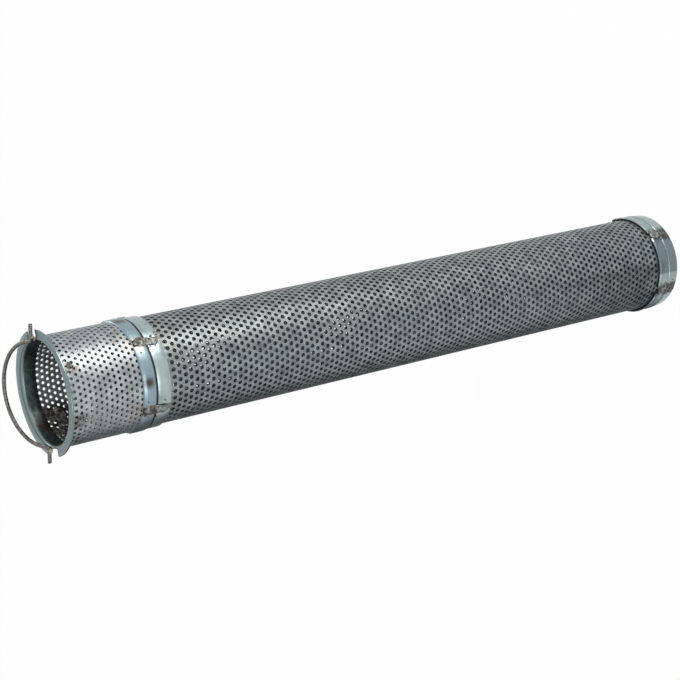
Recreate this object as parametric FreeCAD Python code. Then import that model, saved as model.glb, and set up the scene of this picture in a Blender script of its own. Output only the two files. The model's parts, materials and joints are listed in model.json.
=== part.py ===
"""Hydraulic tank strainer: perforated tube with a flanged mouth and a wire bail.

It stands on its closed end. The origin is the centre of the end cap's face,
+Z runs up the axis to the mouth, and the feet of the bail lie along X.
All lengths are in millimetres, and all angles are in degrees.
"""
import FreeCAD
import Part
import math
import os

# Perforated tubes
outer_tube_radius = 30.4
outer_tube_sheet = 1.0
outer_tube_length = 392.8
neck_step = 0.5
neck_tube_sheet = 1.0
neck_tube_length = 49.5
inner_tube_sheet = 0.8
tube_gap = 1.3

# Round holes: their real sizes, and how many times larger the model's pattern is
outer_hole_diameter = 2.5
outer_hole_pitch = 4.0
outer_pattern_ratio = 8.0
neck_hole_diameter = 2.0
neck_hole_pitch = 3.5
neck_pattern_ratio = 3.5
inner_hole_diameter = 2.5
inner_hole_pitch = 4.05
inner_pattern_ratio = 10.0
hole_margin = 3.0
hole_sides = 6

# Mouth collar: a wall inside the neck tube, turned out into a flange
flange_width = 4.1
collar_sheet = 1.0
collar_bend = 1.1
collar_depth = 9.1
collar_clearance = 0.05

# Notches that let the ends of the bail out through the flange
notch_lip = 0.55
plus_notch_width = 11.4
plus_notch_centre = 2.9
minus_notch_width = 14.6
minus_notch_centre = 2.0

# Wire bail, laid over to +Y and brazed across the rim of the collar
bail_wire_radius = 1.1
bail_inset = 0.05
bail_leg = 3.3
bail_swing = 77.0
bail_offset = 1.6
bail_bend = 2.2
pin_length = 9.9
pin_skew = 19.4
braze_gap = 0.2
braze_radius = 1.9
braze_start = 1.8
braze_length = 3.2

# Ring between the two tubes, with a lip that centres the inner tube
joint_ring_sheet = 1.0
joint_ring_lip = 5.0
ring_clearance = 0.1

# Band segments round the joint and round the far end
band_sheet = 1.0
band_clearance = 0.05
neck_band_width = 7.6
neck_band_flare = 0.5
neck_band_flare_height = 1.2
joint_band_width = 8.0
tail_band_width = 8.3
tail_band_flare = 1.1
tail_band_flare_height = 1.6
band_count = 5
band_gap = 4.0
first_weld_angle = -54.0

# Pressed end cap with a beaded edge
cap_sheet = 1.0
cap_bend = 0.6
cap_skirt = 6.5
cap_bead_height = 2.4
cap_bead_reach = 0.55

# Weld beads over the gaps between band segments
bead_width = 7.6
bead_crest_width = 3.4
bead_height = 1.3
bead_end = 3.0
joint_bead_length = 15.0
end_bead_length = 15.0

# Spot welds that hold the collar in the neck tube
spot_angles = (-63.5, -120.5, 130.5, 46.0)
spot_radius = 5.0
spot_height = 0.7
spot_depth = 6.0
weld_clearance = 0.05

# Worked-out radii
neck_tube_radius = outer_tube_radius + neck_step
flange_radius = neck_tube_radius + flange_width
neck_inner_radius = neck_tube_radius - neck_tube_sheet
outer_inner_radius = outer_tube_radius - outer_tube_sheet
inner_tube_radius = outer_inner_radius - tube_gap
inner_inner_radius = inner_tube_radius - inner_tube_sheet
collar_outer_radius = neck_inner_radius - collar_clearance
collar_inner_radius = collar_outer_radius - collar_sheet
notch_floor_radius = collar_outer_radius + notch_lip
bail_arch_radius = collar_inner_radius - bail_inset
cap_inner_radius = outer_tube_radius + band_clearance
cap_outer_radius = cap_inner_radius + cap_sheet

# Worked-out heights above the closed end
outer_base = cap_sheet + cap_bend
ring_base = outer_base + outer_tube_length
ring_top = ring_base + joint_ring_sheet
neck_top = ring_top + neck_tube_length
flange_back = neck_top + collar_bend
flange_face = flange_back + collar_sheet
cap_top = cap_skirt + cap_bead_height
neck_band_base = ring_top + band_clearance
joint_band_base = ring_base - band_clearance - joint_band_width
tail_band_base = cap_top + band_clearance
tail_band_top = tail_band_base + tail_band_width
bail_height = flange_face + braze_gap + bail_wire_radius

UP = FreeCAD.Vector(0, 0, 1)
ORIGIN = FreeCAD.Vector(0, 0, 0)


def point(radius, height):
    """A point of a half section in the XZ plane."""
    return FreeCAD.Vector(radius, 0, height)


def line(start, end):
    return Part.LineSegment(start, end).toShape()


def arc(start, middle, end):
    return Part.Arc(start, middle, end).toShape()


def revolve(edges, start_angle=0.0, sweep=360.0):
    """Turn a closed half section about Z, from start_angle through sweep."""
    solid = Part.Face(Part.Wire(edges)).revolve(ORIGIN, UP, sweep)
    solid.rotate(ORIGIN, UP, start_angle)
    return solid


def polygon(points):
    return [line(a, b) for a, b in zip(points, points[1:] + points[:1])]


def ring(outer, inner, base, height):
    """A plain tube on the axis."""
    body = Part.makeCylinder(outer, height, point(0, base))
    return body.cut(Part.makeCylinder(inner, height, point(0, base)))


def punch(diameter, start, along):
    """Punch for one hole, its many sides standing for the round."""
    turns = [2 * math.pi * (side + 0.5) / hole_sides for side in range(hole_sides)]
    across = UP.cross(along).normalize()
    corner_radius = diameter / 2 / math.cos(math.pi / hole_sides)
    corners = [start + (across * math.cos(turn) + UP * math.sin(turn)) * corner_radius for turn in turns]
    return Part.Face(Part.Wire(polygon(corners))).extrude(along)


def perforate(tube, radius, low, high, pitch, diameter, staggered=True):
    """Cut rows of holes between the heights low and high, staggered or in line."""
    around = max(3, round(2 * math.pi * radius / pitch))
    row_step = pitch * math.sqrt(3) / 2 if staggered else pitch
    span = high - low - 2 * hole_margin - diameter
    rows = int(span / row_step) + 1
    first = (low + high - (rows - 1) * row_step) / 2
    cutters = []
    for row in range(rows):
        height = first + row * row_step
        for column in range(around):
            shift = 0.5 * (row % 2) if staggered else 0.0
            turn = math.radians(360.0 / around * (column + shift))
            out = FreeCAD.Vector(math.cos(turn), math.sin(turn), 0)
            cutters.append(punch(diameter, out * (radius / 2) + point(0, height), out * radius))
    return tube.cut(cutters)


def outer_tube():
    tube = ring(outer_tube_radius, outer_inner_radius, outer_base, outer_tube_length)
    return perforate(tube, outer_tube_radius, tail_band_top, joint_band_base,
                     outer_hole_pitch * outer_pattern_ratio, outer_hole_diameter * outer_pattern_ratio)


def neck_tube():
    tube = ring(neck_tube_radius, neck_inner_radius, ring_top, neck_tube_length)
    return perforate(tube, neck_tube_radius, neck_band_base + neck_band_width,
                     flange_face - collar_depth,
                     neck_hole_pitch * neck_pattern_ratio, neck_hole_diameter * neck_pattern_ratio)


def inner_tube():
    """Liner from the floor of the end cap to the joint ring, with its holes in straight lines."""
    tube = ring(inner_tube_radius, inner_inner_radius, cap_sheet, ring_base - cap_sheet)
    return perforate(tube, inner_tube_radius, tail_band_top, joint_band_base,
                     inner_hole_pitch * inner_pattern_ratio, inner_hole_diameter * inner_pattern_ratio, False)


def joint_ring():
    """Flat ring between the tube ends, with a lip down inside the inner tube."""
    lip_outer = inner_inner_radius - ring_clearance
    lip_inner = lip_outer - joint_ring_sheet
    return revolve(polygon([
        point(lip_inner, ring_top), point(neck_tube_radius, ring_top),
        point(neck_tube_radius, ring_base), point(lip_outer, ring_base),
        point(lip_outer, ring_base - joint_ring_lip), point(lip_inner, ring_base - joint_ring_lip)]))


def notch(centre, width, side):
    """Cutter for one notch: the flange goes, and the rim of the wall stays."""
    reach = flange_radius + collar_sheet
    base = neck_top - collar_sheet
    height = 2 * (flange_face - base)
    start = 0 if side > 0 else -reach
    block = Part.makeBox(reach, width, height, FreeCAD.Vector(start, centre - width / 2, base))
    return block.cut(Part.makeCylinder(notch_floor_radius, height, point(0, base)))


def mouth_collar():
    """Wall and flange in one sheet, bent with a round edge at the mouth."""
    centre = collar_outer_radius + collar_bend
    outside = collar_bend + collar_sheet
    diagonal = math.sqrt(0.5)
    wall_base = flange_face - collar_depth
    body = revolve([
        line(point(collar_inner_radius, wall_base), point(collar_outer_radius, wall_base)),
        line(point(collar_outer_radius, wall_base), point(collar_outer_radius, neck_top)),
        arc(point(collar_outer_radius, neck_top),
            point(centre - collar_bend * diagonal, neck_top + collar_bend * diagonal),
            point(centre, flange_back)),
        line(point(centre, flange_back), point(flange_radius, flange_back)),
        line(point(flange_radius, flange_back), point(flange_radius, flange_face)),
        line(point(flange_radius, flange_face), point(centre, flange_face)),
        arc(point(centre, flange_face),
            point(centre - outside * diagonal, neck_top + outside * diagonal),
            point(collar_inner_radius, neck_top)),
        line(point(collar_inner_radius, neck_top), point(collar_inner_radius, wall_base))])
    return body.cut([notch(plus_notch_centre, plus_notch_width, 1),
                     notch(minus_notch_centre, minus_notch_width, -1)])


def rod(start, end):
    """Straight run of the bail's wire."""
    along = end - start
    return Part.makeCylinder(bail_wire_radius, along.Length, start, along)


def bend(start, centre, axis, angle):
    """Bent run of the bail's wire, turned from start about an axis through centre."""
    tangent = axis.cross(start - centre)
    section = Part.Face(Part.Wire(Part.makeCircle(bail_wire_radius, start, tangent)))
    return section.revolve(centre, axis, angle)


def bail_foot(side):
    """Pin, corner bend and straight leg at one end of the bail."""
    skew = math.radians(pin_skew)
    swing = math.radians(bail_swing)
    outward = FreeCAD.Vector(math.cos(skew), -math.sin(skew), 0) * side
    leg = FreeCAD.Vector(0, math.sin(swing), math.cos(swing))
    corner = FreeCAD.Vector(side * bail_arch_radius, bail_offset, bail_height)
    turn = math.pi - outward.getAngle(leg)
    setback = bail_bend * math.tan(turn / 2)
    pin_end = corner + outward * setback
    leg_start = corner + leg * setback
    middle = (outward + leg).normalize()
    centre = corner + middle * (bail_bend / math.cos(turn / 2))
    axis = (pin_end - centre).cross(leg_start - centre).normalize()
    pieces = [bend(pin_end, centre, axis, math.degrees(turn)),
              rod(corner + outward * pin_length, pin_end)]
    if bail_leg > setback:
        pieces.append(rod(leg_start, corner + leg * bail_leg))
    return pieces


def bail_handle():
    """Half-round bail with a straight leg and an outward pin at each end."""
    swing = math.radians(bail_swing)
    leg = FreeCAD.Vector(0, math.sin(swing), math.cos(swing))
    centre = FreeCAD.Vector(0, bail_offset, bail_height) + leg * bail_leg
    shoulder = centre + FreeCAD.Vector(bail_arch_radius, 0, 0)
    axis = FreeCAD.Vector(1, 0, 0).cross(leg)
    arch = bend(shoulder, centre, axis, 180)
    return arch.fuse(bail_foot(1) + bail_foot(-1)).removeSplitter()


def bail_braze(side):
    """Bead of braze round the pin, against the edge of the collar."""
    bead = revolve(polygon([
        point(bail_wire_radius, 0), point(braze_radius, braze_length / 3),
        point(braze_radius, braze_length * 2 / 3), point(bail_wire_radius, braze_length)]))
    bead.translate(UP * braze_start)
    bead.rotate(ORIGIN, FreeCAD.Vector(0, 1, 0), 90)
    bead.rotate(ORIGIN, UP, (0 if side > 0 else 180) - pin_skew)
    bead.translate(FreeCAD.Vector(side * bail_arch_radius, bail_offset, bail_height))
    return bead


def band(inner, base, width, flare, flare_height):
    """Segments of a sheet band, flared at the edge nearer the mouth."""
    outer = inner + band_sheet
    top = base + width
    corners = [point(inner, base), point(outer, base)]
    if flare > 0:
        corners += [point(outer, top - flare_height), point(outer + flare, top),
                    point(inner + flare, top), point(inner, top - flare_height)]
    else:
        corners += [point(outer, top), point(inner, top)]
    step = 360.0 / band_count
    half_gap = math.degrees(band_gap / 2 / outer)
    return [revolve(polygon(corners), first_weld_angle + index * step + half_gap, step - 2 * half_gap)
            for index in range(band_count)]


def oblong(distance, width, base, top):
    """Upright rectangle that faces along X."""
    return Part.Wire(polygon([
        FreeCAD.Vector(distance, -width / 2, base), FreeCAD.Vector(distance, width / 2, base),
        FreeCAD.Vector(distance, width / 2, top), FreeCAD.Vector(distance, -width / 2, top)]))


def weld_bead(angle, base, length, surface_radius, pieces):
    """Bead along the axis that fills the gap between two segments, with sloping sides."""
    foot = oblong(surface_radius - 2 * band_sheet, bead_width, base, base + length)
    crest = oblong(surface_radius + bead_height, bead_crest_width, base + bead_end,
                   base + length - bead_end)
    bead = Part.makeLoft([foot, crest], True, True)
    bead.rotate(ORIGIN, UP, angle)
    return bead.cut(pieces)


def end_cap():
    """Cup over the end of the outer tube, with a bead round its open edge."""
    outside = cap_bend + cap_sheet
    diagonal = math.sqrt(0.5)
    corner = cap_outer_radius - outside
    return revolve([
        line(point(0, 0), point(corner, 0)),
        arc(point(corner, 0), point(corner + outside * diagonal, outside - outside * diagonal),
            point(cap_outer_radius, outside)),
        line(point(cap_outer_radius, outside), point(cap_outer_radius, cap_skirt)),
        arc(point(cap_outer_radius, cap_skirt),
            point(cap_outer_radius + cap_bead_reach, cap_skirt + cap_bead_height / 2),
            point(cap_outer_radius, cap_top)),
        line(point(cap_outer_radius, cap_top), point(cap_inner_radius, cap_top)),
        line(point(cap_inner_radius, cap_top), point(cap_inner_radius, outside)),
        arc(point(cap_inner_radius, outside),
            point(corner + cap_bend * diagonal, outside - cap_bend * diagonal),
            point(corner, cap_sheet)),
        line(point(corner, cap_sheet), point(0, cap_sheet)),
        line(point(0, cap_sheet), point(0, 0))])


def spot_weld(angle):
    """Low lens of weld metal on the neck tube, over the wall of the collar."""
    centre = neck_tube_radius + spot_height - spot_radius
    lens = Part.makeSphere(spot_radius, point(centre, flange_face - spot_depth))
    lens.rotate(ORIGIN, UP, angle)
    return lens.cut(Part.makeCylinder(neck_tube_radius + weld_clearance, flange_face + spot_radius))


def build():
    """Every solid of the strainer, by the name of its node."""
    nodes = {
        "mouth_collar": mouth_collar(),
        "neck_tube": neck_tube(),
        "outer_tube": outer_tube(),
        "inner_tube": inner_tube(),
        "joint_ring": joint_ring(),
        "end_cap": end_cap(),
        "bail_handle": bail_handle(),
    }
    for number, side in enumerate((1, -1), 1):
        nodes[f"bail_braze_{number}"] = bail_braze(side)
    bands = {
        "neck_band": band(neck_tube_radius + band_clearance, neck_band_base, neck_band_width,
                          neck_band_flare, neck_band_flare_height),
        "joint_band": band(outer_tube_radius + band_clearance, joint_band_base, joint_band_width, 0, 0),
        "tail_band": band(outer_tube_radius + band_clearance, tail_band_base, tail_band_width,
                          tail_band_flare, tail_band_flare_height),
    }
    for name, segments in bands.items():
        for number, segment in enumerate(segments, 1):
            nodes[f"{name}_{number}"] = segment
    below_joint = Part.makeCylinder(outer_tube_radius, ring_base)
    above_joint = Part.makeCylinder(neck_tube_radius, neck_top - ring_base, point(0, ring_base))
    joint_bead_base = (ring_base + ring_top - joint_bead_length) / 2
    end_bead_base = tail_band_top - tail_band_flare_height - end_bead_length
    for index in range(band_count):
        angle = first_weld_angle + index * 360.0 / band_count
        nodes[f"joint_weld_{index + 1}"] = weld_bead(
            angle, joint_bead_base, joint_bead_length, neck_tube_radius + band_clearance + band_sheet,
            [below_joint, above_joint] + bands["neck_band"] + bands["joint_band"])
        nodes[f"end_weld_{index + 1}"] = weld_bead(
            angle, end_bead_base, end_bead_length, outer_tube_radius + band_clearance + band_sheet,
            [below_joint, nodes["end_cap"]] + bands["tail_band"])
    for number, angle in enumerate(spot_angles, 1):
        nodes[f"collar_weld_{number}"] = spot_weld(angle)
    return nodes


os.makedirs("parts", exist_ok=True)
for name, shape in build().items():
    shape.exportStep(f"parts/{name}.step")
    print(f"{name}: {len(shape.Solids)} solid, valid {shape.isValid()}, {shape.Volume:.1f} mm3")
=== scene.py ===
"""Looks of the hydraulic tank strainer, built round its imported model.

All lengths are in metres. The strainer stands on its closed end, with the mouth at the top,
and the camera looks down on it from the -Y side, rolled so that the mouth lies to the left.
"""
import bpy
import bmesh
import json
import math
import random
from mathutils import Matrix, Vector

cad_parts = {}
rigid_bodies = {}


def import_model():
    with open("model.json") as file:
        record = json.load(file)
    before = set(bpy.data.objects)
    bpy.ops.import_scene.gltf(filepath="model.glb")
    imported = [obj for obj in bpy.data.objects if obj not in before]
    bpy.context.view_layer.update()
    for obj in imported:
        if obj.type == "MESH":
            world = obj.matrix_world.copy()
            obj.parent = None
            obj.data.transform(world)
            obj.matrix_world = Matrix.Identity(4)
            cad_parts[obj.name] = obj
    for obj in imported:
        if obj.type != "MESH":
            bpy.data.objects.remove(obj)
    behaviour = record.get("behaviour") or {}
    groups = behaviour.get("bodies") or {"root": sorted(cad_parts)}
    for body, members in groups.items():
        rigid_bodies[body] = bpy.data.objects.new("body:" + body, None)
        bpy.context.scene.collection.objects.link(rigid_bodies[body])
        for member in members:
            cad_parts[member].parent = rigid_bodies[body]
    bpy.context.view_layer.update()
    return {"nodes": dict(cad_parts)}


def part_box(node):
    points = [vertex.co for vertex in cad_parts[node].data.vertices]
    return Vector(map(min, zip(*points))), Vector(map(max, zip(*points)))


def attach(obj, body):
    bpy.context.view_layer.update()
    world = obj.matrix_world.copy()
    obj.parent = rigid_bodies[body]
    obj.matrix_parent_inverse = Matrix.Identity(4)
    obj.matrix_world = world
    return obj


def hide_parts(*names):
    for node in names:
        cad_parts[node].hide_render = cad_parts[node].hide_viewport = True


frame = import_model()

MM = 0.001
TURN = 2 * math.pi


def node_radius(node):
    """Largest radius of a node that goes all the way round the axis."""
    low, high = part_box(node)
    return (high.y - low.y) / 2


def node_base(node):
    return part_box(node)[0].z


def node_top(node):
    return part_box(node)[1].z


# Sheet and clearances
SHEET = 1.0 * MM
LINER_SHEET = 0.8 * MM
CLEARANCE = 0.05 * MM

# Faces that meet at less than this are shaded smooth
SMOOTH_ANGLE = math.radians(40)

# Heights and radii, from the frame
FLANGE_FACE = node_top("mouth_collar")
COLLAR_BASE = node_base("mouth_collar")
FLANGE_RADIUS = node_radius("mouth_collar")
NECK_RADIUS = node_radius("neck_tube")
NECK_BASE = node_base("neck_tube")
NECK_TOP = node_top("neck_tube")
OUTER_RADIUS = node_radius("outer_tube")
OUTER_BASE = node_base("outer_tube")
OUTER_TOP = node_top("outer_tube")
LINER_RADIUS = node_radius("inner_tube")
LINER_BASE = node_base("inner_tube")
LINER_TOP = node_top("inner_tube")
COLLAR_RADIUS = NECK_RADIUS - SHEET - CLEARANCE
CAP_RADIUS = OUTER_RADIUS + CLEARANCE + SHEET

# Perforation: punched holes in flat sheet that is then rolled
OUTER_HOLE = 2.5 * MM
OUTER_AROUND = 47
OUTER_ROW_STEP = 3.464 * MM
OUTER_ROWS = 108
NECK_HOLE = 1.85 * MM
NECK_AROUND = 55
NECK_ROW_STEP = 3.01 * MM
NECK_ROWS = 16
LINER_HOLE = 2.5 * MM
LINER_AROUND = 43
LINER_ROW_STEP = 3.6 * MM
LINER_ROWS = 104

# Bands in five segments, with a weld over each gap
WELDS = 5
WELD_STEP = 360 / WELDS
FIRST_WELD = -54.0
BAND_GAP = 4.0 * MM
BAND_SIDES = 200

# Flare of the bands' edge nearer the mouth: how far out, and over what height
NECK_FLARE = (0.5 * MM, 1.2 * MM)
TAIL_FLARE = (1.1 * MM, 1.6 * MM)
NO_FLARE = (0, 0)

# How far the neck bands start above their place in the frame, for the dark groove at the joint
GROOVE = 0.4 * MM

# Bail, as in the frame
WIRE_RADIUS = 1.1 * MM
BAIL_SWING = math.radians(77.0)
BAIL_ARCH = 28.8 * MM
BAIL_LEG = 3.3 * MM
BAIL_OFFSET = 1.6 * MM
BAIL_BEND = 2.2 * MM
PIN_LENGTH = 9.9 * MM
PIN_SKEW = math.radians(19.4)
BRAZE_GAP = 0.2 * MM
BAIL_HEIGHT = FLANGE_FACE + BRAZE_GAP + WIRE_RADIUS

# Notches in the flange: place along Y, width and side of X
NOTCHES = ((2.9 * MM, 11.4 * MM, 1), (2.0 * MM, 14.6 * MM, -1))
NOTCH_LIP = 0.55 * MM

# Lumps of a weld: place along it from -1 to 1, millimetres to one side, lift and length
WELD_LUMPS = ((-0.45, -0.5, 0.5, 1.0), (0.5, 0.4, 0.6, 1.3), (0.05, 0.0, 0.7, 1.0))
SPATTER_BEADS = 9

# Spot welds of the collar, and burnt spots on the band above the joint with their reach
SPOT_ANGLES = (-63.5, -120.5, 130.5, 46.0)
SPOT_DEPTH = 6.0 * MM
SPOT_DOTS = 5
BAND_BURNS = ((-95.5, 4.6 * MM), (-14.5, 5.5 * MM))
BAND_BURN_HEIGHT = NECK_BASE + 4.2 * MM

# Where the collar's third weld burnt through, and the crust of drips that it left inside the neck
BURN_ANGLE = SPOT_ANGLES[2]
COLLAR_BURN_DEPTH = 9 * MM
NECK_BURN_DEPTH = 18 * MM
DRIPS = 44
DRIP_ANGLES = (-17, 23)
DRIP_DEPTHS = (10 * MM, 26 * MM)


class Value:
    """A node's output that Python's signs count with, each sign adding its Math node."""

    def __init__(self, wiring, plug):
        self.wiring = wiring
        self.plug = plug

    def count(self, operation, *others):
        inputs = dict(enumerate((self,) + others))
        return self.wiring.add("Math", {"operation": operation}, inputs)

    def __add__(self, other):
        return self.count("ADD", other)

    def __sub__(self, other):
        return self.count("SUBTRACT", other)

    def __mul__(self, other):
        return self.count("MULTIPLY", other)

    def __pow__(self, other):
        return self.count("POWER", other)

    def __mod__(self, other):
        return self.count("FLOORED_MODULO", other)

    def __abs__(self):
        return self.count("ABSOLUTE")

    def __rsub__(self, other):
        return self.wiring.add("Math", {"operation": "SUBTRACT"}, {0: other, 1: self})

    __radd__ = __add__
    __rmul__ = __mul__


class Wiring:
    """The node tree of one material or of the world."""

    def __init__(self, tree):
        self.tree = tree
        tree.nodes.clear()

    def add(self, kind, settings=None, inputs=None, output=0):
        """Add a node with its settings and the values or links of its sockets."""
        node = self.tree.nodes.new("ShaderNode" + kind)
        for name, value in (settings or {}).items():
            setattr(node, name, value)
        for name, value in (inputs or {}).items():
            if isinstance(value, Value):
                self.tree.links.new(value.plug, node.inputs[name])
            else:
                node.inputs[name].default_value = value
        return Value(self, node.outputs[output]) if node.outputs else None

    def places(self):
        """X, Y and Z of the surface point, in metres, and the point itself."""
        point = self.add("TexCoord", output="Object")
        parts = [self.add("SeparateXYZ", None, {0: point}, output=axis) for axis in "XYZ"]
        return (*parts, point)

    def noise(self, point, size, detail=3.0, rough=0.55, stretch=(1, 1, 1)):
        """Smooth noise from 0 to 1 whose blotches are about size across."""
        scaled = self.add("VectorMath", {"operation": "MULTIPLY"},
                          {0: point, 1: [axis / size for axis in stretch]})
        return self.add("TexNoise", None, {"Vector": scaled, "Scale": 1.0, "Detail": detail,
                                           "Roughness": rough})

    def fade(self, value, start, end, low=0.0, high=1.0):
        """A value taken smoothly from low at start to high at end."""
        return self.add("MapRange", {"interpolation_type": "SMOOTHSTEP", "clamp": True},
                        {0: value, 1: start, 2: end, 3: low, 4: high})

    def blend(self, factor, first, second):
        """Colour that goes from first at factor 0 to second at factor 1."""
        first, second = [tone if isinstance(tone, Value) else (*tone, 1.0) for tone in (first, second)]
        return self.add("Mix", {"data_type": "RGBA"}, {0: factor, 6: first, 7: second}, output=2)


def wired_material(name, recipe, **shader):
    """A material whose recipe gives the inputs of its shader that vary over the surface."""
    material = bpy.data.materials.new(name)
    material.use_nodes = True
    wiring = Wiring(material.node_tree)
    varied = recipe(wiring)
    surface = wiring.add("BsdfPrincipled", None, {**shader, **varied})
    wiring.add("OutputMaterial", None, {"Surface": surface})
    return material


def round_angle(wiring, x, y):
    """Angle about the axis in degrees, from -180 to 180."""
    return wiring.add("Math", {"operation": "ARCTAN2"}, {0: y, 1: x}) * (360 / TURN)


def weld_distance(wiring, x, y, radius):
    """Distance along the surface from the nearest of the five weld lines."""
    folded = (round_angle(wiring, x, y) - FIRST_WELD + WELD_STEP / 2) % WELD_STEP - WELD_STEP / 2
    return abs(folded) * (TURN / 360 * radius)


def spot_mask(wiring, place, centre, inner, outer):
    """1 near a point of the surface, fading to 0 between two distances."""
    away = wiring.add("VectorMath", {"operation": "DISTANCE"}, {0: place, 1: centre}, output="Value")
    return wiring.fade(away, inner, outer, 1.0, 0.0)


def on_tube(angle, radius, height):
    """A point of the row frame from its angle in degrees, radius and height."""
    turn = math.radians(angle)
    return (radius * math.cos(turn), radius * math.sin(turn), height)


def bump(wiring, height, distance):
    return wiring.add("Bump", None, {"Strength": 1.0, "Distance": distance, "Height": height})


def sheet_steel(wiring, tones):
    """Mill finish: fine mottling, faint rolling lines and a few handling marks."""
    x, y, z, place = wiring.places()
    mottle = wiring.noise(place, 6 * MM, 4.0)
    fine = wiring.noise(place, 0.5 * MM, 2.0)
    lines = wiring.noise(place, 1.0 * MM, 2.0, stretch=(1, 1, 0.06))
    tone = mottle * 0.55 + fine * 0.2 + lines * 0.25
    colour = wiring.blend(wiring.fade(tone, 0.38, 0.62), *tones)
    rough = 0.34 + mottle * 0.14 + lines * 0.06
    return x, y, z, place, colour, rough, fine * 0.6 + lines * 0.4


# Tints of heat, dirt and plating, with a painted dark reflection and a painted highlight for the far end
STRAW = (0.26, 0.22, 0.165)
SCORCH = (0.065, 0.045, 0.035)
SOOT = (0.022, 0.019, 0.017)
RUST = (0.12, 0.075, 0.05)
SMOKE = (0.055, 0.058, 0.055)
BLUE_ZINC = (0.225, 0.315, 0.37)
# Painted dark reflection on the far end, between two welds
PAINTED_REFLECTION_ZINC = (0.13, 0.17, 0.19)
# Painted highlight beside a weld at the far end
PAINTED_GLINT = (0.9, 0.9, 0.87)

# Darkest and lightest tone of each metal
NECK_TONES = ((0.22, 0.24, 0.25), (0.36, 0.38, 0.39))
OUTER_TONES = ((0.15, 0.17, 0.175), (0.27, 0.30, 0.30))
LINER_TONES = ((0.20, 0.22, 0.225), (0.31, 0.34, 0.345))
# Near black: painted shade in the joint's groove
GROOVE_SHADE_TONES = ((0.020, 0.022, 0.022), (0.05, 0.055, 0.055))
ZINC_TONES = ((0.265, 0.333, 0.343), (0.365, 0.435, 0.44))
TEAL_TONES = ((0.085, 0.12, 0.12), (0.19, 0.25, 0.24))
# Painted shade inside the collar's bore
BORE_SHADE_TONES = ((0.06, 0.08, 0.08), (0.15, 0.19, 0.185))
WIRE_TONES = ((0.085, 0.08, 0.075), (0.22, 0.21, 0.20))
BRAZE_TONES = ((0.12, 0.11, 0.09), (0.40, 0.37, 0.29))
WELD_TONES = ((0.06, 0.065, 0.062), (0.28, 0.30, 0.29))
BURNT_TONES = (SOOT, (0.10, 0.085, 0.062))

# Depth of the relief in rolled sheet and wire
RELIEF = 0.05 * MM


def heat(wiring, colour, distance, noise, reach):
    """Straw and brown heat tints round a weld."""
    near = distance + (noise - 0.5) * (reach * 0.8)
    colour = wiring.blend(wiring.fade(near, reach * 0.45, reach, 0.7, 0.0), colour, STRAW)
    return wiring.blend(wiring.fade(near, reach * 0.2, reach * 0.6, 0.9, 0.0), colour, SCORCH)


def from_axis(x, y):
    """Distance from the axis of the tube."""
    return (x * x + y * y) ** 0.5


def within(wiring, x, y, radius):
    """1 inside a radius about the axis, 0 outside it."""
    return wiring.fade(from_axis(x, y), radius - 0.2 * MM, radius + 0.2 * MM, 1.0, 0.0)


def on_cap(wiring, z):
    """1 on the end cap, 0 past its open edge."""
    edge = node_top("end_cap")
    return wiring.fade(z, edge, edge + 1 * MM, 1.0, 0.0)


def neck_finish(wiring):
    x, y, z, place, colour, rough, relief = sheet_steel(wiring, NECK_TONES)
    noise = wiring.noise(place, 3 * MM, 5.0, 0.7)
    for angle in SPOT_ANGLES:
        centre = on_tube(angle, NECK_RADIUS, FLANGE_FACE - SPOT_DEPTH)
        near = spot_mask(wiring, place, centre, 1.5 * MM, 6.5 * MM) * wiring.fade(noise, 0.38, 0.58)
        colour = wiring.blend(near * 0.85, colour, SCORCH)
    centre = on_tube(BURN_ANGLE, NECK_RADIUS - SHEET, FLANGE_FACE - NECK_BURN_DEPTH)
    burn = spot_mask(wiring, place, centre, 9 * MM, 16 * MM)
    inside = within(wiring, x, y, NECK_RADIUS - SHEET / 2)
    colour = wiring.blend(burn * inside * 0.95, colour, SOOT)
    joint = weld_distance(wiring, x, y, NECK_RADIUS)
    low = wiring.fade(z, NECK_BASE + 8 * MM, NECK_BASE + 14 * MM, 1.0, 0.0)
    tint = wiring.fade(joint + (noise - 0.5) * (7 * MM), 2 * MM, 8 * MM, 0.45, 0.0) * low
    colour = wiring.blend(tint, colour, STRAW)
    return {"Base Color": colour, "Roughness": rough, "Normal": bump(wiring, relief, RELIEF)}


def outer_finish(wiring):
    x, y, z, place, colour, rough, relief = sheet_steel(wiring, OUTER_TONES)
    noise = wiring.noise(place, 3 * MM, 5.0, 0.7)
    weld = weld_distance(wiring, x, y, OUTER_RADIUS)
    high = wiring.fade(z, OUTER_TOP - 20 * MM, OUTER_TOP - 10 * MM)
    tint = wiring.fade(weld + (noise - 0.5) * (9 * MM), 3 * MM, 10 * MM, 0.25, 0.0) * high
    colour = wiring.blend(tint, colour, RUST)
    return {"Base Color": colour, "Roughness": rough, "Normal": bump(wiring, relief, RELIEF)}


def liner_finish(wiring):
    *_, colour, rough, relief = sheet_steel(wiring, LINER_TONES)
    return {"Base Color": colour, "Roughness": rough + 0.08, "Normal": bump(wiring, relief, RELIEF)}


def groove_shade_finish(wiring):
    """The ring in the groove of the joint, near black: painted shade of the groove."""
    *_, colour, rough, relief = sheet_steel(wiring, GROOVE_SHADE_TONES)
    return {"Base Color": colour, "Roughness": rough + 0.12, "Normal": bump(wiring, relief, RELIEF)}


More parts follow.
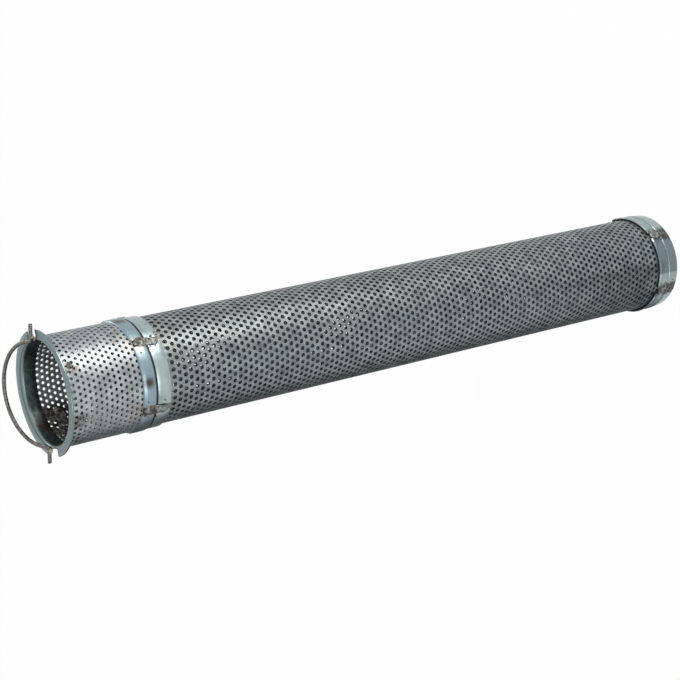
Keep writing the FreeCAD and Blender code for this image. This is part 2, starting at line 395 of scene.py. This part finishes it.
def zinc_finish(wiring):
    """Zinc-plated sheet: silver green, bluer above the joint, dark teal on the collar, with burns."""
    x, y, z, place = wiring.places()
    cloud = wiring.noise(place, 11 * MM, 2.0)
    streak = wiring.noise(place, 2.4 * MM, 2.0, stretch=(1, 1, 0.3))
    fine = wiring.noise(place, 0.4 * MM, 2.0)
    noise = wiring.noise(place, 2.5 * MM, 4.0, 0.65)
    tone = cloud * 0.65 + streak * 0.35
    colour = wiring.blend(wiring.fade(tone, 0.36, 0.64), *ZINC_TONES)
    neck_side = wiring.fade(z, NECK_BASE - 0.8 * MM, NECK_BASE)
    colour = wiring.blend(neck_side * 0.8, colour, BLUE_ZINC)
    colour = collar_tones(wiring, colour, (x, y, z, place), noise)
    colour = end_tones(wiring, colour, (x, y, z, place), noise)
    weld = weld_distance(wiring, x, y, NECK_RADIUS)
    below_collar = wiring.fade(z, COLLAR_BASE - 6 * MM, COLLAR_BASE - 1 * MM, 1.0, 0.0)
    colour = wiring.blend(neck_side * below_collar, colour, heat(wiring, colour, weld, noise, 5 * MM))
    for angle, reach in BAND_BURNS:
        centre = on_tube(angle, NECK_RADIUS + SHEET, BAND_BURN_HEIGHT)
        near = spot_mask(wiring, place, centre, reach * 0.1, reach * 1.1)
        colour = wiring.blend(near * 0.97, colour, SCORCH)
    return {"Base Color": colour, "Roughness": 0.26 + tone * 0.12,
            "Normal": bump(wiring, fine * 0.6 + streak * 0.4, 0.02 * MM)}


def collar_tones(wiring, colour, place, noise):
    """The collar: teal outside, with painted shade in its bore, scorched where a weld burnt through."""
    x, y, z, point = place
    collar = wiring.fade(z, COLLAR_BASE - 2 * MM, COLLAR_BASE)
    turned = wiring.noise(wiring.add("CombineXYZ", None, {0: from_axis(x, y)}), 1.1 * MM, 2.0)
    teal = wiring.blend(wiring.fade(turned, 0.35, 0.65), *TEAL_TONES)
    colour = wiring.blend(collar * 0.85, colour, teal)
    # Painted shade: the bore below the bend is darkened, with a mottle
    below_bend = wiring.fade(z, FLANGE_FACE - 3.2 * MM, FLANGE_FACE - 2.0 * MM, 1.0, 0.0)
    bore = within(wiring, x, y, COLLAR_RADIUS - SHEET / 2) * below_bend
    bore_shade = wiring.blend(wiring.fade(noise, 0.40, 0.62), *BORE_SHADE_TONES)
    colour = wiring.blend(bore * collar * 0.8, colour, bore_shade)
    centre = on_tube(BURN_ANGLE, COLLAR_RADIUS - SHEET, FLANGE_FACE - COLLAR_BURN_DEPTH)
    burn = spot_mask(wiring, point, centre, 4 * MM, 9 * MM) * wiring.fade(noise, 0.30, 0.50)
    return wiring.blend(burn * collar * 0.9, colour, SCORCH)


def end_tones(wiring, colour, place, noise):
    """The far end: a painted dark reflection between two welds, smoked and rusty beside them, with a
    painted highlight.
    """
    x, y, z, point = place
    end = wiring.fade(z, 25 * MM, 30 * MM, 1.0, 0.0)
    angle = round_angle(wiring, x, y)
    # Painted reflection: the far end is darkened between two welds, standing for a reflected dark edge
    dark_reflection = wiring.fade(angle, -105.0, -103.0) * wiring.fade(angle, -56.0, -54.0, 1.0, 0.0)
    colour = wiring.blend(end * dark_reflection * 0.8, colour, PAINTED_REFLECTION_ZINC)
    weld = weld_distance(wiring, x, y, OUTER_RADIUS)
    rust = wiring.fade(weld + (noise - 0.5) * (5 * MM), 1.5 * MM, 5 * MM, 0.8, 0.0) * on_cap(wiring, z)
    colour = wiring.blend(rust, colour, RUST)
    smoke = wiring.fade(weld + (noise - 0.5) * (7 * MM), 3 * MM, 6 * MM, 0.75, 0.0) * end
    colour = wiring.blend(smoke, colour, SMOKE)
    # Painted highlight: a near-white spot beside the first weld, where the lamp's reflection falls
    centre = on_tube(FIRST_WELD - 5, OUTER_RADIUS + 2 * MM, node_top("tail_band_1"))
    glint = spot_mask(wiring, point, centre, 1.2 * MM, 3.2 * MM) * wiring.fade(noise, 0.44, 0.52)
    return wiring.blend(glint, colour, PAINTED_GLINT)


def wire_finish(wiring):
    *_, place = wiring.places()
    scale = wiring.noise(place, 1.2 * MM, 4.0)
    colour = wiring.blend(wiring.fade(scale, 0.36, 0.62), *WIRE_TONES)
    return {"Base Color": colour, "Roughness": 0.30 + scale * 0.2, "Normal": bump(wiring, scale, RELIEF)}


def braze_finish(wiring):
    *_, place = wiring.places()
    scale = wiring.noise(place, 0.9 * MM, 4.0)
    colour = wiring.blend(wiring.fade(scale, 0.35, 0.62), *BRAZE_TONES)
    return {"Base Color": colour, "Roughness": 0.34 + scale * 0.2,
            "Normal": bump(wiring, scale, 3 * RELIEF)}


def weld_finish(wiring):
    """Weld metal: dark grey with bright grains, and brown scale where it burnt."""
    *_, z, place = wiring.places()
    scale = wiring.noise(place, 1.8 * MM, 4.0, 0.6)
    blotch = wiring.noise(place, 3.0 * MM, 3.0)
    colour = wiring.blend(wiring.fade(scale, 0.36, 0.62), *WELD_TONES)
    above_joint = wiring.fade(z, NECK_BASE - 1 * MM, NECK_BASE + 1 * MM)
    burnt = wiring.fade(blotch, 0.36, 0.54) * (above_joint + on_cap(wiring, z))
    brown = wiring.blend(wiring.fade(scale, 0.38, 0.62), *BURNT_TONES)
    colour = wiring.blend(burnt * 0.85, colour, brown)
    metal = wiring.fade(blotch, 0.40, 0.60, 0.95, 0.6)
    return {"Base Color": colour, "Roughness": 0.36 + blotch * 0.3, "Metallic": metal,
            "Normal": bump(wiring, scale, 4 * RELIEF)}


MATERIALS = {
    "neck_sheet": wired_material("neck sheet", neck_finish, Metallic=1.0),
    "tube_sheet": wired_material("tube sheet", outer_finish, Metallic=1.0),
    "liner_sheet": wired_material("liner sheet", liner_finish, Metallic=0.5),
    "zinc_sheet": wired_material("zinc sheet", zinc_finish, Metallic=1.0),
    "bail_wire": wired_material("bail wire", wire_finish, Metallic=1.0),
    "braze": wired_material("braze", braze_finish, Metallic=1.0),
    "weld_metal": wired_material("weld metal", weld_finish),
}


def deselect_all():
    if bpy.context.object and bpy.context.object.mode != "OBJECT":
        bpy.ops.object.mode_set(mode="OBJECT")
    bpy.ops.object.select_all(action="DESELECT")


def edit():
    """Go into edit mode with every vertex selected."""
    bpy.ops.object.mode_set(mode="EDIT")
    bpy.ops.mesh.select_mode(type="VERT")
    bpy.ops.mesh.select_all(action="SELECT")


def leave_edit():
    bpy.ops.object.mode_set(mode="OBJECT")


def middle(item):
    """Middle of an edge or a face of the piece being edited."""
    if isinstance(item, bmesh.types.BMEdge):
        return (item.verts[0].co + item.verts[1].co) / 2
    return item.calc_center_median()


def pick(kind, test):
    """Select the vertices, edges or faces that pass a test, in edit mode."""
    bpy.ops.mesh.select_mode(type=kind)
    bpy.ops.mesh.select_all(action="DESELECT")
    mesh = bpy.context.object.data
    shape = bmesh.from_edit_mesh(mesh)
    for item in {"VERT": shape.verts, "EDGE": shape.edges, "FACE": shape.faces}[kind]:
        if test(item):
            item.select_set(True)
    shape.select_flush_mode()
    bmesh.update_edit_mesh(mesh)


def modify(kind, **settings):
    """Add a modifier to the active piece and apply it."""
    modifier = bpy.context.object.modifiers.new(kind.lower(), kind)
    for name, value in settings.items():
        setattr(modifier, name, value)
    bpy.ops.object.modifier_apply(modifier=modifier.name)


def worn_edges(width, angle):
    """Round the edges that are sharper than an angle in degrees."""
    modify("BEVEL", width=width, segments=2, limit_method="ANGLE", angle_limit=math.radians(angle))


def settle(piece, name, slot, replaced):
    """Name a finished piece, shade it, give it its finish and put it in the frame."""
    deselect_all()
    piece.select_set(True)
    bpy.context.view_layer.objects.active = piece
    bpy.ops.object.transform_apply(location=True, rotation=True, scale=True)
    bpy.ops.object.shade_smooth_by_angle(angle=SMOOTH_ANGLE)
    piece.name = name
    piece.data.name = name
    piece.data.materials.clear()
    piece.data.materials.append(MATERIALS[slot])
    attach(piece, "root")
    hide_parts(*replaced)


def hole_cell(sides, hole, across, along, corner):
    """One punched hole in the middle of its own share of the sheet, in the XZ plane."""
    deselect_all()
    bpy.ops.mesh.primitive_circle_add(vertices=sides, radius=hole / 2, rotation=(TURN / 4, 0, 0))
    bpy.ops.object.transform_apply(rotation=True)
    edit()
    bpy.ops.mesh.extrude_region()
    share = across / 2 / math.cos(TURN / sides) / (hole / 2)
    bpy.ops.transform.resize(value=(share, share, share))
    rim = hole / 2 * 1.01
    step = TURN / sides

    def mid_edge(vertex):
        turn = round(math.atan2(vertex.co.x, vertex.co.z) / step)
        return vertex.co.length > rim and turn % 2 != corner

    pick("VERT", mid_edge)
    inward = math.cos(TURN / sides)
    bpy.ops.transform.resize(value=(inward, inward, inward))
    pick("VERT", lambda vertex: vertex.co.length > rim)
    bpy.ops.transform.resize(value=(1, 1, along))
    bpy.ops.mesh.select_all(action="SELECT")
    return bpy.context.object


def rolled_sheet(cell_width, around, row_step, rows, radius, base, top):
    """Lay the cells out in rows, roll the flat sheet into a tube and square off its ends."""
    leave_edit()
    modify("ARRAY", count=around, use_relative_offset=False, use_constant_offset=True,
           constant_offset_displace=(cell_width, 0, 0))
    modify("ARRAY", count=rows, use_relative_offset=False, use_constant_offset=True,
           constant_offset_displace=(0, 0, row_step))
    sheet = bpy.context.object
    corners = [vertex.co for vertex in sheet.data.vertices]
    left, right = min(corner.x for corner in corners), max(corner.x for corner in corners)
    low, high = min(corner.z for corner in corners), max(corner.z for corner in corners)
    edit()
    bpy.ops.transform.translate(value=(-(left + right) / 2, 0, (base + top - low - high) / 2))
    leave_edit()
    flat_width = around * cell_width
    modify("SIMPLE_DEFORM", deform_method="BEND", deform_axis="Z",
           angle=TURN * (right - left) / flat_width)
    edit()
    bpy.ops.transform.translate(value=(0, -radius, 0))
    bpy.ops.mesh.remove_doubles(threshold=0.02 * MM)
    bpy.ops.mesh.normals_make_consistent(inside=False)
    half = (high - low) / 2
    for edge, end in ((base + top) / 2 + half, top), ((base + top) / 2 - half, base):
        pick("EDGE", lambda item: item.is_boundary and abs(middle(item).z - edge) < cell_width * 0.35)
        bpy.ops.mesh.extrude_region()
        bpy.ops.transform.resize(value=(1, 1, 0), center_override=(0, 0, end))
    leave_edit()
    return sheet


def split_rolled(height):
    """Part the rolled sheet at the row nearest a height, and return the piece that comes off."""
    edit()
    whole = set(bpy.data.objects)
    pick("FACE", lambda face: middle(face).z > height)
    bpy.ops.mesh.separate(type="SELECTED")
    leave_edit()
    return next(piece for piece in bpy.data.objects if piece not in whole)


def give_thickness(piece, sheet):
    """Give a rolled sheet its thickness, half of it to each side."""
    deselect_all()
    piece.select_set(True)
    bpy.context.view_layer.objects.active = piece
    modify("SOLIDIFY", thickness=sheet, offset=0.0)


def staggered_cells(hole, cell_width, row_step):
    """Two rows of a triangular pattern: a hole, and its neighbour half a pitch along."""
    hexagon_height = cell_width * math.sqrt(3) / 2
    hole_cell(12, hole, cell_width, row_step / hexagon_height, 0)
    bpy.ops.mesh.duplicate_move(TRANSFORM_OT_translate={"value": (cell_width / 2, 0, row_step)})


def outer_tube():
    """Long perforated tube, in two lengths that meet along a row of holes."""
    radius = OUTER_RADIUS - SHEET / 2
    cell_width = TURN * radius / OUTER_AROUND
    staggered_cells(OUTER_HOLE, cell_width, OUTER_ROW_STEP)
    lower = rolled_sheet(cell_width, OUTER_AROUND, 2 * OUTER_ROW_STEP, OUTER_ROWS // 2,
                         radius, OUTER_BASE, OUTER_TOP)
    upper = split_rolled((OUTER_BASE + OUTER_TOP) / 2)
    for piece, name in (lower, "outer_tube_lower"), (upper, "outer_tube_upper"):
        give_thickness(piece, SHEET)
        settle(piece, name, "tube_sheet", ["outer_tube"])


def inner_tube():
    """Perforated liner with its holes in straight rows, in two lengths."""
    radius = LINER_RADIUS - LINER_SHEET / 2
    cell_width = TURN * radius / LINER_AROUND
    hole_cell(8, LINER_HOLE, cell_width, LINER_ROW_STEP / cell_width, 1)
    lower = rolled_sheet(cell_width, LINER_AROUND, LINER_ROW_STEP, LINER_ROWS,
                         radius, LINER_BASE, LINER_TOP)
    upper = split_rolled((LINER_BASE + LINER_TOP) / 2)
    for piece, name in (lower, "inner_tube_lower"), (upper, "inner_tube_upper"):
        give_thickness(piece, LINER_SHEET)
        settle(piece, name, "liner_sheet", ["inner_tube"])


def neck_tube():
    radius = NECK_RADIUS - SHEET / 2
    cell_width = TURN * radius / NECK_AROUND
    staggered_cells(NECK_HOLE, cell_width, NECK_ROW_STEP)
    tube = rolled_sheet(cell_width, NECK_AROUND, 2 * NECK_ROW_STEP, NECK_ROWS // 2,
                        radius, NECK_BASE, NECK_TOP)
    give_thickness(tube, SHEET)
    settle(tube, "neck_tube_perforated", "neck_sheet", ["neck_tube"])


def drawn_ring(outline, sides):
    """Draw a circle out along an outline of radii and heights, as sheet is pressed or spun."""
    deselect_all()
    radius, height = outline[0]
    bpy.ops.mesh.primitive_circle_add(vertices=sides, radius=radius, location=(0, 0, height))
    bpy.ops.object.transform_apply(location=True)
    edit()
    for wider, higher in outline[1:]:
        bpy.ops.mesh.extrude_region()
        bpy.ops.transform.translate(value=(0, 0, higher - height))
        grow = wider / radius
        bpy.ops.transform.resize(value=(grow, grow, 1), center_override=(0, 0, higher))
        radius, height = wider, higher
    return bpy.context.object


def arc_points(centre_radius, centre_height, radius, start, end, steps):
    """Points of a round stretch of an outline, between two angles in degrees."""
    angles = [math.radians(start + (end - start) * step / steps) for step in range(steps + 1)]
    return [(centre_radius + radius * math.cos(angle), centre_height + radius * math.sin(angle))
            for angle in angles]


def turned_angle(place, centre):
    """Angle of a place about the axis, in degrees from a centre angle, between -180 and 180."""
    return (math.degrees(math.atan2(place.y, place.x)) - centre + 180) % 360 - 180


def band_segments(kind, radius, base, top, flare, flare_height):
    """Five segments of a sheet band with worn edges, perhaps flared at the edge nearer the mouth."""
    inner = radius + CLEARANCE
    rise = top - base
    outline = [(inner, base), (inner, base + rise * 0.35), (inner, base + rise * 0.7)]
    if flare > 0:
        outline += [(inner, top - flare_height - 0.25 * MM), (inner, top - flare_height),
                    (inner + flare * 0.35, top - flare_height * 0.5)]
    outline.append((inner + flare, top))
    half_gap = math.degrees(BAND_GAP / 2 / (inner + SHEET))
    for number in range(WELDS):
        centre = FIRST_WELD + WELD_STEP * (number + 0.5)
        segment = drawn_ring(outline, BAND_SIDES)
        kept = WELD_STEP / 2 - half_gap
        pick("FACE", lambda face: abs(turned_angle(middle(face), centre)) > kept)
        bpy.ops.mesh.delete(type="FACE")
        bpy.ops.mesh.select_all(action="SELECT")
        bpy.ops.mesh.normals_make_consistent(inside=False)
        pick("FACE", lambda face: face.normal.dot(middle(face)) < 0)
        bpy.ops.mesh.flip_normals()
        leave_edit()
        modify("SOLIDIFY", thickness=SHEET, offset=1.0)
        worn_edges(0.18 * MM, 50)
        settle(segment, f"{kind}_segment_{number + 1}", "zinc_sheet", [f"{kind}_{number + 1}"])


def end_cap():
    """Pressed cup over the closed end, with a bead round its open edge."""
    base = node_base("end_cap")
    top = node_top("end_cap")
    bead_height = 2.4 * MM
    bead_reach = node_radius("end_cap") - CAP_RADIUS
    corner = 1.6 * MM
    skirt = top - bead_height
    outline = arc_points(CAP_RADIUS - corner, base + corner, corner, -90, 0, 6)
    bead_radius = ((bead_height / 2) ** 2 + bead_reach ** 2) / (2 * bead_reach)
    sweep = math.degrees(math.asin(bead_height / 2 / bead_radius))
    outline += arc_points(CAP_RADIUS + bead_reach - bead_radius, skirt + bead_height / 2,
                          bead_radius, -sweep, sweep, 8)
    cap = drawn_ring(outline, 160)
    pick("EDGE", lambda edge: edge.is_boundary and middle(edge).z < base + 0.01 * MM)
    bpy.ops.mesh.edge_face_add()
    bpy.ops.mesh.inset(thickness=10 * MM)
    bpy.ops.mesh.inset(thickness=12 * MM)
    bpy.ops.mesh.select_all(action="SELECT")
    bpy.ops.mesh.normals_make_consistent(inside=False)
    pick("FACE", lambda face: middle(face).z < base + 0.01 * MM and face.normal.z > 0)
    bpy.ops.mesh.flip_normals()
    leave_edit()
    modify("SOLIDIFY", thickness=SHEET, offset=-1.0)
    settle(cap, "pressed_end_cap", "zinc_sheet", ["end_cap"])


def mouth_collar():
    """Collar wall inside the neck, turned out into the notched flange."""
    bend = 1.6 * MM
    wall = COLLAR_RADIUS - SHEET / 2
    plane = FLANGE_FACE - SHEET / 2
    turn_centre = wall + bend
    notch_floor = COLLAR_RADIUS + NOTCH_LIP
    outline = [(wall, COLLAR_BASE), (wall, plane - bend - 3 * MM)]
    outline += arc_points(turn_centre, plane - bend, bend, 180, 90, 8)
    outline += [(FLANGE_RADIUS - 2 * MM, plane), (FLANGE_RADIUS, plane)]
    collar = drawn_ring(outline, 240)
    for centre, width, side in NOTCHES:
        for edge in centre - width / 2, centre + width / 2:
            pick("FACE", lambda face: middle(face).x * side > 0 and middle(face).z > plane - bend)
            bpy.ops.mesh.bisect(plane_co=(0, edge, 0), plane_no=(0, 1, 0))
        pick("FACE", lambda face: (middle(face).x * side > 0 and abs(middle(face).y - centre) < width / 2
                                   and middle(face).xy.length > notch_floor))
        bpy.ops.mesh.delete(type="FACE")
    bpy.ops.mesh.select_all(action="SELECT")
    bpy.ops.mesh.normals_make_consistent(inside=False)
    leave_edit()
    modify("SOLIDIFY", thickness=SHEET, offset=0.0)
    worn_edges(0.15 * MM, 60)
    settle(collar, "flanged_collar", "zinc_sheet", ["mouth_collar"])


def bail_handle():
    """Half-round wire bail: a spun arch, then a leg, a bend and a pin at each end."""
    leg = Vector((0, math.sin(BAIL_SWING), math.cos(BAIL_SWING)))
    hub = Vector((0, BAIL_OFFSET, BAIL_HEIGHT)) + leg * BAIL_LEG
    deselect_all()
    bpy.ops.mesh.primitive_circle_add(vertices=20, radius=WIRE_RADIUS,
                                      location=hub + Vector((BAIL_ARCH, 0, 0)))
    facing = leg.to_track_quat("Z", "X")
    bpy.context.object.rotation_mode = "QUATERNION"
    bpy.context.object.rotation_quaternion = facing
    bpy.ops.object.transform_apply(location=True, rotation=True)
    wire = bpy.context.object
    edit()
    axis = leg.cross(Vector((1, 0, 0)))
    bpy.ops.mesh.spin(steps=64, angle=TURN / 2, center=hub, axis=axis)
    for side in (1, -1):
        start = hub + Vector((side * BAIL_ARCH, 0, 0))
        outward = Vector((math.cos(PIN_SKEW), -math.sin(PIN_SKEW), 0)) * side
        corner = Vector((side * BAIL_ARCH, BAIL_OFFSET, BAIL_HEIGHT))
        turn = math.pi - outward.angle(leg)
        setback = BAIL_BEND * math.tan(turn / 2)
        leg_end = corner + leg * setback
        pick("VERT", lambda vertex: (vertex.co - start).length < WIRE_RADIUS * 1.05)
        bpy.ops.mesh.extrude_region()
        bpy.ops.transform.translate(value=leg_end - start)
        centre = corner + (outward + leg).normalized() * (BAIL_BEND / math.cos(turn / 2))
        pin_start = corner + outward * setback
        bend_axis = (pin_start - centre).cross(leg_end - centre).normalized()
        bpy.ops.mesh.spin(steps=10, angle=turn, center=centre, axis=bend_axis)
        bpy.ops.mesh.extrude_region()
        bpy.ops.transform.translate(value=outward * (PIN_LENGTH - setback))
        bpy.ops.mesh.edge_face_add()
    bpy.ops.mesh.select_all(action="SELECT")
    bpy.ops.mesh.remove_doubles(threshold=0.005 * MM)
    bpy.ops.mesh.normals_make_consistent(inside=False)
    leave_edit()
    worn_edges(0.25 * MM, 60)
    settle(wire, "wire_bail", "bail_wire", ["bail_handle"])


def lump(place, reach, turn, seed, rough, detail=4):
    """A blob of molten metal that set: a ball pressed to its reach and left uneven."""
    bpy.ops.mesh.primitive_ico_sphere_add(subdivisions=detail, radius=1, location=place,
                                          rotation=(0, 0, turn), scale=reach)
    bpy.ops.object.transform_apply(location=True, rotation=True, scale=True)
    blob = bpy.context.object
    grain = bpy.data.textures.new(f"set metal {seed}", "CLOUDS")
    grain.noise_scale = 1.6 * MM
    offset = bpy.data.objects.new(f"grain {seed}", None)
    offset.location = (seed * 0.013, seed * 0.007, 0)
    modifier = blob.modifiers.new("uneven", "DISPLACE")
    modifier.texture = grain
    modifier.texture_coords = "OBJECT"
    modifier.texture_coords_object = offset
    modifier.strength = rough * min(reach) * 2
    modifier.mid_level = 0.5
    bpy.ops.object.modifier_apply(modifier=modifier.name)
    bpy.data.objects.remove(offset)
    bpy.data.textures.remove(grain)
    return blob


def join_pieces(pieces):
    deselect_all()
    for piece in pieces:
        piece.select_set(True)
    bpy.context.view_layer.objects.active = pieces[0]
    bpy.ops.object.join()
    return bpy.context.object


def weld_run(angle, radius, base, top, seed):
    """Weld bead along the axis over the gap of two band rows, with beads of spatter beside it."""
    deselect_all()
    luck = random.Random(seed)
    height = (base + top) / 2
    half = (top - base) / 2
    blobs = []
    for along, across, lift, length in WELD_LUMPS:
        turn = math.radians(angle) + across * MM / radius
        place = (radius * math.cos(turn), radius * math.sin(turn), height + along * half)
        reach = (1.25 * MM * lift, (2.3 + luck.random() * 0.8) * MM,
                 half * (0.42 + luck.random() * 0.16) * length)
        blobs.append(lump(place, reach, turn, seed * 10 + len(blobs), 0.3))
    for spatter in range(SPATTER_BEADS):
        turn = math.radians(angle) + luck.uniform(-6.5, 6.5) * MM / radius
        level = height + luck.uniform(-1.15, 1.15) * half
        place = (radius * math.cos(turn), radius * math.sin(turn), level)
        size = luck.uniform(0.35, 0.8) * MM
        blobs.append(lump(place, (size, size, size), turn, seed * 10 + len(blobs), 0.2, 2))
    return join_pieces(blobs)


def weld_beads():
    for number in range(WELDS):
        angle = FIRST_WELD + WELD_STEP * number
        joint = f"joint_weld_{number + 1}"
        run = weld_run(angle, NECK_RADIUS + SHEET, node_base(joint), node_top(joint), number + 1)
        settle(run, f"joint_bead_{number + 1}", "weld_metal", [joint])
        tail = f"end_weld_{number + 1}"
        run = weld_run(angle, OUTER_RADIUS + SHEET, node_base(tail), node_top(tail), number + 11)
        settle(run, f"end_bead_{number + 1}", "weld_metal", [tail])


def spot_welds():
    """Low burnt lumps where the collar is welded through the neck tube."""
    for number, angle in enumerate(SPOT_ANGLES, 1):
        deselect_all()
        luck = random.Random(40 + number)
        blobs = []
        for dot in range(SPOT_DOTS):
            turn = math.radians(angle) + luck.uniform(-2.6, 2.6) * MM / NECK_RADIUS
            height = FLANGE_FACE - SPOT_DEPTH + luck.uniform(-1.9, 1.9) * MM
            place = (NECK_RADIUS * math.cos(turn), NECK_RADIUS * math.sin(turn), height)
            size = luck.uniform(0.8, 1.5) * MM
            blobs.append(lump(place, (0.5 * MM, size, size), turn, 60 + number * 6 + dot, 0.5, 3))
        if angle == BURN_ANGLE:
            blobs += burnt_drips()
        settle(join_pieces(blobs), f"spot_weld_{number}", "weld_metal", [f"collar_weld_{number}"])


def burnt_drips():
    """Crust of burnt drips on the inside of the neck, over the first holes past the collar."""
    luck = random.Random(7)
    drips = []
    for drip in range(DRIPS):
        angle = BURN_ANGLE + luck.uniform(*DRIP_ANGLES)
        place = on_tube(angle, NECK_RADIUS - SHEET, FLANGE_FACE - luck.uniform(*DRIP_DEPTHS))
        size = luck.uniform(1.3, 2.4) * MM
        drips.append(lump(place, (0.45 * MM, size, size), math.radians(angle), 200 + drip, 0.5, 3))
    return drips


def braze_drops():
    """Braze that holds the bail's ends on the rim."""
    for number, side in enumerate((1, -1), 1):
        deselect_all()
        pin = Vector((math.cos(PIN_SKEW), -math.sin(PIN_SKEW), 0)) * side
        corner = Vector((side * BAIL_ARCH, BAIL_OFFSET, BAIL_HEIGHT))
        drop = lump(corner + pin * (2.6 * MM) - Vector((0, 0, 0.7 * MM)),
                    (1.6 * MM, 1.45 * MM, 1.1 * MM), -PIN_SKEW, 90 + number, 0.3)
        rim = lump(corner + Vector((side * 0.8 * MM, 0, -1.3 * MM)), (0.9 * MM, 3.6 * MM, 0.6 * MM),
                   0, 95 + number, 0.3)
        settle(join_pieces([drop, rim]), f"braze_{number}", "braze", [f"bail_braze_{number}"])


def finish_ring():
    """The ring between the two tubes keeps its frame shape and takes a near-black finish, painted shade
    of the groove.
    """
    ring = frame["nodes"]["joint_ring"]
    ring.data.materials.clear()
    ring.data.materials.append(wired_material("ring sheet", groove_shade_finish, Metallic=0.7))


# Dark cards by middle, size, tilt and grey: one upright on the -X side and two flat on the floor
CARDS = (((-0.11, 0.125, 0.25), (0.50, 0.26, 1.0), TURN / 4, 0.26),
         ((-0.0725, 0.07, 0.002), (0.077, 0.28, 1.0), 0, 0.56),
         ((-0.018, -0.105, 0.002), (0.036, 0.12, 1.0), 0, 0.34))

# Soft boxes: name, place, target, width, length, power and colour
SOFT_BOXES = (("key", (0.65, -0.45, 0.28), (0, 0, 0.36), 0.40, 0.52, 5.4, (1.0, 0.97, 0.92)),
              ("rim", (0.55, 0.85, 0.78), (0, 0, 0.44), 0.30, 0.30, 1.2, (1, 1, 1)),
              ("fill", (-0.5, -1.4, 0.5), (0, 0, 0.2), 0.8, 0.8, 6.0, (1, 1, 1)))

# Light of the surroundings, the floor's own white and the share of it that shows as plain white
SKY_LIGHT = (0.42, 0.43, 0.44)
FLOOR_WHITE = 0.8
FLOOR_GLOW = 0.98

# Camera of the photograph, in the row frame
CAMERA_PLACE = Vector((0.0938, -0.8256, 0.7900))
CAMERA_RIGHT = Vector((-0.15439519, -0.55076447, -0.82025644))
CAMERA_UP = Vector((0.98274236, 0.0, -0.18497958))
CAMERA_BACK = Vector((0.10188018, -0.83466071, 0.54125958))
CAMERA_LENS = 87.38
SENSOR = 36.0


def photo_camera():
    lens = bpy.data.cameras.new("camera")
    lens.lens = CAMERA_LENS
    lens.sensor_width = SENSOR
    lens.clip_start = 0.01
    lens.clip_end = 20.0
    camera = bpy.data.objects.new("camera", lens)
    turned = Matrix((CAMERA_RIGHT, CAMERA_UP, CAMERA_BACK)).transposed()
    camera.matrix_world = Matrix.Translation(CAMERA_PLACE) @ turned.to_4x4()
    bpy.context.scene.collection.objects.link(camera)
    bpy.context.scene.camera = camera


def soft_box(name, place, target, width, length, power, colour):
    """Area lamp whose long side lies along the axis of the strainer."""
    lamp = bpy.data.lights.new(name, "AREA")
    lamp.shape = "RECTANGLE"
    lamp.size = width
    lamp.size_y = length
    lamp.energy = power
    lamp.color = colour
    box = bpy.data.objects.new(name, lamp)
    box.location = place
    box.rotation_mode = "QUATERNION"
    box.rotation_quaternion = (Vector(target) - Vector(place)).to_track_quat("-Z", "Y")
    bpy.context.scene.collection.objects.link(box)


def seen_directly(wiring):
    """1 for what the camera, a reflection or a clear piece shows, and 0 for the light it gives."""
    path = "LightPath"
    camera = wiring.add(path, output="Is Camera Ray")
    glossy = wiring.add(path, output="Is Glossy Ray")
    through = wiring.add(path, output="Is Transmission Ray")
    return camera.count("MAXIMUM", glossy).count("MAXIMUM", through)


def stage_piece(piece, name, finish):
    """Name a piece of the studio, give it a finish of its own and keep it out of the part."""
    piece.name = name
    material = bpy.data.materials.new(name)
    material.use_nodes = True
    wiring = Wiring(material.node_tree)
    wiring.add("OutputMaterial", None, {"Surface": finish(wiring)})
    piece.data.materials.append(material)


def matt(wiring, grey):
    return wiring.add("BsdfDiffuse", None, {"Color": (grey, grey, grey, 1.0)})


def floor_finish(wiring):
    """Plain white to the camera and to reflections, with a trace of the object's shadow."""
    white = matt(wiring, FLOOR_WHITE)
    glow = wiring.add("Emission", None, {"Color": (1, 1, 1, 1), "Strength": 1.0})
    return wiring.add("MixShader", None, {0: seen_directly(wiring) * FLOOR_GLOW, 1: white, 2: glow})


def dark_cards():
    """Dark cards beside the strainer, out of the picture, that its lower side reflects."""
    for place, size, tilt, grey in CARDS:
        deselect_all()
        bpy.ops.mesh.primitive_plane_add(size=1, location=place, rotation=(0, tilt, 0))
        card = bpy.context.object
        card.scale = size
        card.visible_camera = False
        stage_piece(card, "dark card", lambda wiring: matt(wiring, grey))


def studio():
    """White floor that keeps a shadow, white surroundings and plain soft light."""
    bpy.context.scene.view_settings.view_transform = "Standard"
    world = bpy.data.worlds.new("studio")
    bpy.context.scene.world = world
    world.use_nodes = True
    wiring = Wiring(world.node_tree)
    colour = wiring.blend(seen_directly(wiring), SKY_LIGHT, (1.0, 1.0, 1.0))
    sky = wiring.add("Background", None, {"Color": colour, "Strength": 1.0})
    wiring.add("OutputWorld", None, {"Surface": sky})
    deselect_all()
    bpy.ops.mesh.primitive_circle_add(vertices=96, radius=4.0, fill_type="NGON", location=(0, 0, 0))
    stage_piece(bpy.context.object, "floor", floor_finish)
    for box in SOFT_BOXES:
        soft_box(*box)


photo_camera()
studio()
dark_cards()
outer_tube()
inner_tube()
neck_tube()
band_segments("neck_band", NECK_RADIUS, node_base("neck_band_1") + GROOVE, node_top("neck_band_1"),
              *NECK_FLARE)
band_segments("joint_band", OUTER_RADIUS, node_base("joint_band_1"), node_top("joint_band_1"),
              *NO_FLARE)
band_segments("tail_band", OUTER_RADIUS, node_base("tail_band_1"), node_top("tail_band_1"),
              *TAIL_FLARE)
end_cap()
mouth_collar()
bail_handle()
weld_beads()
spot_welds()
braze_drops()
finish_ring()
